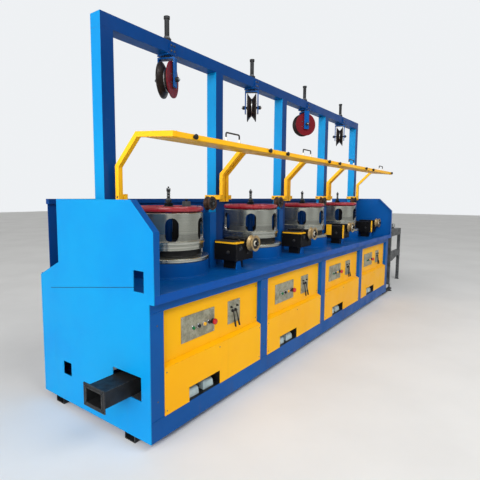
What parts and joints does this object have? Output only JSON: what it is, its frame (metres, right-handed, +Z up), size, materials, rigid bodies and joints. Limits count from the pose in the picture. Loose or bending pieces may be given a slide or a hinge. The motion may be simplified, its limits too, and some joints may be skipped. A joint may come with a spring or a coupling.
{
  "type": "wire drawing machine",
  "caption": "Block wire drawing machine: windowed winding drums on a long table, die boxes, overhead swivel pulleys on a gantry, swing-down guards.",
  "frame": {"origin": "centre of the base's underside on the floor, on the line of the drum axes", "axes": "+X along the machine from the finished-wire end to the inlet end, +Y from front to rear, +Z up"},
  "size_m": [7.046, 1.272, 3.035],
  "materials": {
    "blue_paint": "semi-gloss machine paint",
    "yellow_paint": "semi-gloss machine paint",
    "red_paint": "worn paint",
    "black_paint": "satin paint with wear",
    "drum_steel": "ground and polished by wire",
    "plate_steel": "brushed sheet",
    "pedal_cast": "cast, bare",
    "dark_steel": "dark paint",
    "pulley_iron": "worn",
    "roller_nylon": "worn nylon"
  },
  "bodies": {
    "frame": {"base_frame": "blue_paint", "frame_posts": "blue_paint", "header_rails": "blue_paint", "table_top": "blue_paint", "near_end_cover": "blue_paint", "far_end_cover": "blue_paint", "rear_panels": "blue_paint", "upper_panels": "yellow_paint", "lower_panels": "yellow_paint", "control_plates": "plate_steel", "foot_pedals": "pedal_cast", "drum_bases": "blue_paint", "die_boxes": "black_paint", "sheave_columns": "blue_paint", "gantry_posts": "blue_paint", "gantry_beam": "blue_paint", "cable_duct": "dark_steel", "inlet_stand": "dark_steel"},
    "drum_1": {"drum_1": "drum_steel"},
    "flyer_1": {"flyer_1": "red_paint"},
    "swivel_1": {"swivel_1": "blue_paint"},
    "pulley_1": {"pulley_1": "pulley_iron"},
    "guard_1": {"guard_1": "yellow_paint"},
    "guide_1": {"guide_1": "pulley_iron"},
    "inlet_roller_1": {"inlet_roller_1": "roller_nylon"},
    "die_lid_1": {"die_lid_1": "yellow_paint"},
    "drum_2": {"drum_2": "drum_steel"},
    "flyer_2": {"flyer_2": "red_paint"},
    "swivel_2": {"swivel_2": "blue_paint"},
    "pulley_2": {"pulley_2": "pulley_iron"},
    "guard_2": {"guard_2": "yellow_paint"},
    "guide_2": {"guide_2": "pulley_iron"},
    "inlet_roller_2": {"inlet_roller_2": "roller_nylon"},
    "die_lid_2": {"die_lid_2": "yellow_paint"},
    "drum_3": {"drum_3": "drum_steel"},
    "flyer_3": {"flyer_3": "red_paint"},
    "swivel_3": {"swivel_3": "blue_paint"},
    "pulley_3": {"pulley_3": "pulley_iron"},
    "guard_3": {"guard_3": "yellow_paint"},
    "guide_3": {"guide_3": "pulley_iron"},
    "inlet_roller_3": {"inlet_roller_3": "roller_nylon"},
    "die_lid_3": {"die_lid_3": "yellow_paint"},
    "drum_4": {"drum_4": "drum_steel"},
    "flyer_4": {"flyer_4": "red_paint"},
    "swivel_4": {"swivel_4": "blue_paint"},
    "pulley_4": {"pulley_4": "pulley_iron"},
    "guard_4": {"guard_4": "yellow_paint"},
    "guide_4": {"guide_4": "pulley_iron"},
    "inlet_roller_4": {"inlet_roller_4": "roller_nylon"},
    "die_lid_4": {"die_lid_4": "yellow_paint"}
  },
  "joints": [
    {"name": "drum_1_spin", "type": "hinge", "parent": "frame", "child": "drum_1", "pos_m": [-1.837, 0, 1.266], "axis": [0, 0, 1], "continuous": true},
    {"name": "flyer_1_spin", "type": "hinge", "parent": "frame", "child": "flyer_1", "pos_m": [-1.837, 0, 1.535], "axis": [0, 0, 1], "continuous": true},
    {"name": "swivel_1_turn", "type": "hinge", "parent": "frame", "child": "swivel_1", "pos_m": [-1.837, 0, 2.786], "axis": [0, 0, 1], "range_deg": [-60, 60]},
    {"name": "pulley_1_spin", "type": "hinge", "parent": "swivel_1", "child": "pulley_1", "pos_m": [-1.837, 0, 2.544], "axis": [-0.4226, 0.9063, 0], "continuous": true},
    {"name": "guard_1_swing", "type": "hinge", "parent": "frame", "child": "guard_1", "pos_m": [-1.837, -0.11, 1.6], "axis": [1, 0, 0], "range_deg": [0, 65]},
    {"name": "guide_1_spin", "type": "hinge", "parent": "frame", "child": "guide_1", "pos_m": [-1.43, -0.112, 1.545], "axis": [0, 1, 0], "continuous": true},
    {"name": "inlet_roller_1_spin", "type": "hinge", "parent": "frame", "child": "inlet_roller_1", "pos_m": [-1.233, -0.46, 1.191], "axis": [0, 1, 0], "continuous": true},
    {"name": "die_lid_1_lift", "type": "hinge", "parent": "frame", "child": "die_lid_1", "pos_m": [-1.299, -0.166, 1.209], "axis": [-1, 0, 0], "range_deg": [0, 90]},
    {"name": "drum_2_spin", "type": "hinge", "parent": "frame", "child": "drum_2", "pos_m": [-0.575, 0, 1.266], "axis": [0, 0, 1], "continuous": true},
    {"name": "flyer_2_spin", "type": "hinge", "parent": "frame", "child": "flyer_2", "pos_m": [-0.575, 0, 1.535], "axis": [0, 0, 1], "continuous": true},
    {"name": "swivel_2_turn", "type": "hinge", "parent": "frame", "child": "swivel_2", "pos_m": [-0.575, 0, 2.786], "axis": [0, 0, 1], "range_deg": [-60, 60]},
    {"name": "pulley_2_spin", "type": "hinge", "parent": "swivel_2", "child": "pulley_2", "pos_m": [-0.575, 0, 2.544], "axis": [-0.5446, 0.8387, 0], "continuous": true},
    {"name": "guard_2_swing", "type": "hinge", "parent": "frame", "child": "guard_2", "pos_m": [-0.575, -0.11, 1.6], "axis": [1, 0, 0], "range_deg": [0, 65]},
    {"name": "guide_2_spin", "type": "hinge", "parent": "frame", "child": "guide_2", "pos_m": [-0.168, -0.112, 1.545], "axis": [0, 1, 0], "continuous": true},
    {"name": "inlet_roller_2_spin", "type": "hinge", "parent": "frame", "child": "inlet_roller_2", "pos_m": [0.029, -0.46, 1.191], "axis": [0, 1, 0], "continuous": true},
    {"name": "die_lid_2_lift", "type": "hinge", "parent": "frame", "child": "die_lid_2", "pos_m": [-0.037, -0.166, 1.209], "axis": [-1, 0, 0], "range_deg": [0, 90]},
    {"name": "drum_3_spin", "type": "hinge", "parent": "frame", "child": "drum_3", "pos_m": [0.687, 0, 1.266], "axis": [0, 0, 1], "continuous": true},
    {"name": "flyer_3_spin", "type": "hinge", "parent": "frame", "child": "flyer_3", "pos_m": [0.687, 0, 1.535], "axis": [0, 0, 1], "continuous": true},
    {"name": "swivel_3_turn", "type": "hinge", "parent": "frame", "child": "swivel_3", "pos_m": [0.687, 0, 2.786], "axis": [0, 0, 1], "range_deg": [-60, 60]},
    {"name": "pulley_3_spin", "type": "hinge", "parent": "swivel_3", "child": "pulley_3", "pos_m": [0.687, 0, 2.544], "axis": [-0.5592, -0.829, 0], "continuous": true},
    {"name": "guard_3_swing", "type": "hinge", "parent": "frame", "child": "guard_3", "pos_m": [0.687, -0.11, 1.6], "axis": [1, 0, 0], "range_deg": [0, 65]},
    {"name": "guide_3_spin", "type": "hinge", "parent": "frame", "child": "guide_3", "pos_m": [1.094, -0.112, 1.545], "axis": [0, 1, 0], "continuous": true},
    {"name": "inlet_roller_3_spin", "type": "hinge", "parent": "frame", "child": "inlet_roller_3", "pos_m": [1.291, -0.46, 1.191], "axis": [0, 1, 0], "continuous": true},
    {"name": "die_lid_3_lift", "type": "hinge", "parent": "frame", "child": "die_lid_3", "pos_m": [1.225, -0.166, 1.209], "axis": [-1, 0, 0], "range_deg": [0, 90]},
    {"name": "drum_4_spin", "type": "hinge", "parent": "frame", "child": "drum_4", "pos_m": [1.949, 0, 1.266], "axis": [0, 0, 1], "continuous": true},
    {"name": "flyer_4_spin", "type": "hinge", "parent": "frame", "child": "flyer_4", "pos_m": [1.949, 0, 1.535], "axis": [0, 0, 1], "continuous": true},
    {"name": "swivel_4_turn", "type": "hinge", "parent": "frame", "child": "swivel_4", "pos_m": [1.949, 0, 2.786], "axis": [0, 0, 1], "range_deg": [-60, 60]},
    {"name": "pulley_4_spin", "type": "hinge", "parent": "swivel_4", "child": "pulley_4", "pos_m": [1.949, 0, 2.544], "axis": [-0.3584, 0.9336, 0], "continuous": true},
    {"name": "guard_4_swing", "type": "hinge", "parent": "frame", "child": "guard_4", "pos_m": [1.949, -0.11, 1.6], "axis": [1, 0, 0], "range_deg": [0, 65]},
    {"name": "guide_4_spin", "type": "hinge", "parent": "frame", "child": "guide_4", "pos_m": [2.356, -0.112, 1.545], "axis": [0, 1, 0], "continuous": true},
    {"name": "inlet_roller_4_spin", "type": "hinge", "parent": "frame", "child": "inlet_roller_4", "pos_m": [2.553, -0.46, 1.191], "axis": [0, 1, 0], "continuous": true},
    {"name": "die_lid_4_lift", "type": "hinge", "parent": "frame", "child": "die_lid_4", "pos_m": [2.487, -0.166, 1.209], "axis": [-1, 0, 0], "range_deg": [0, 90]}
  ]
}
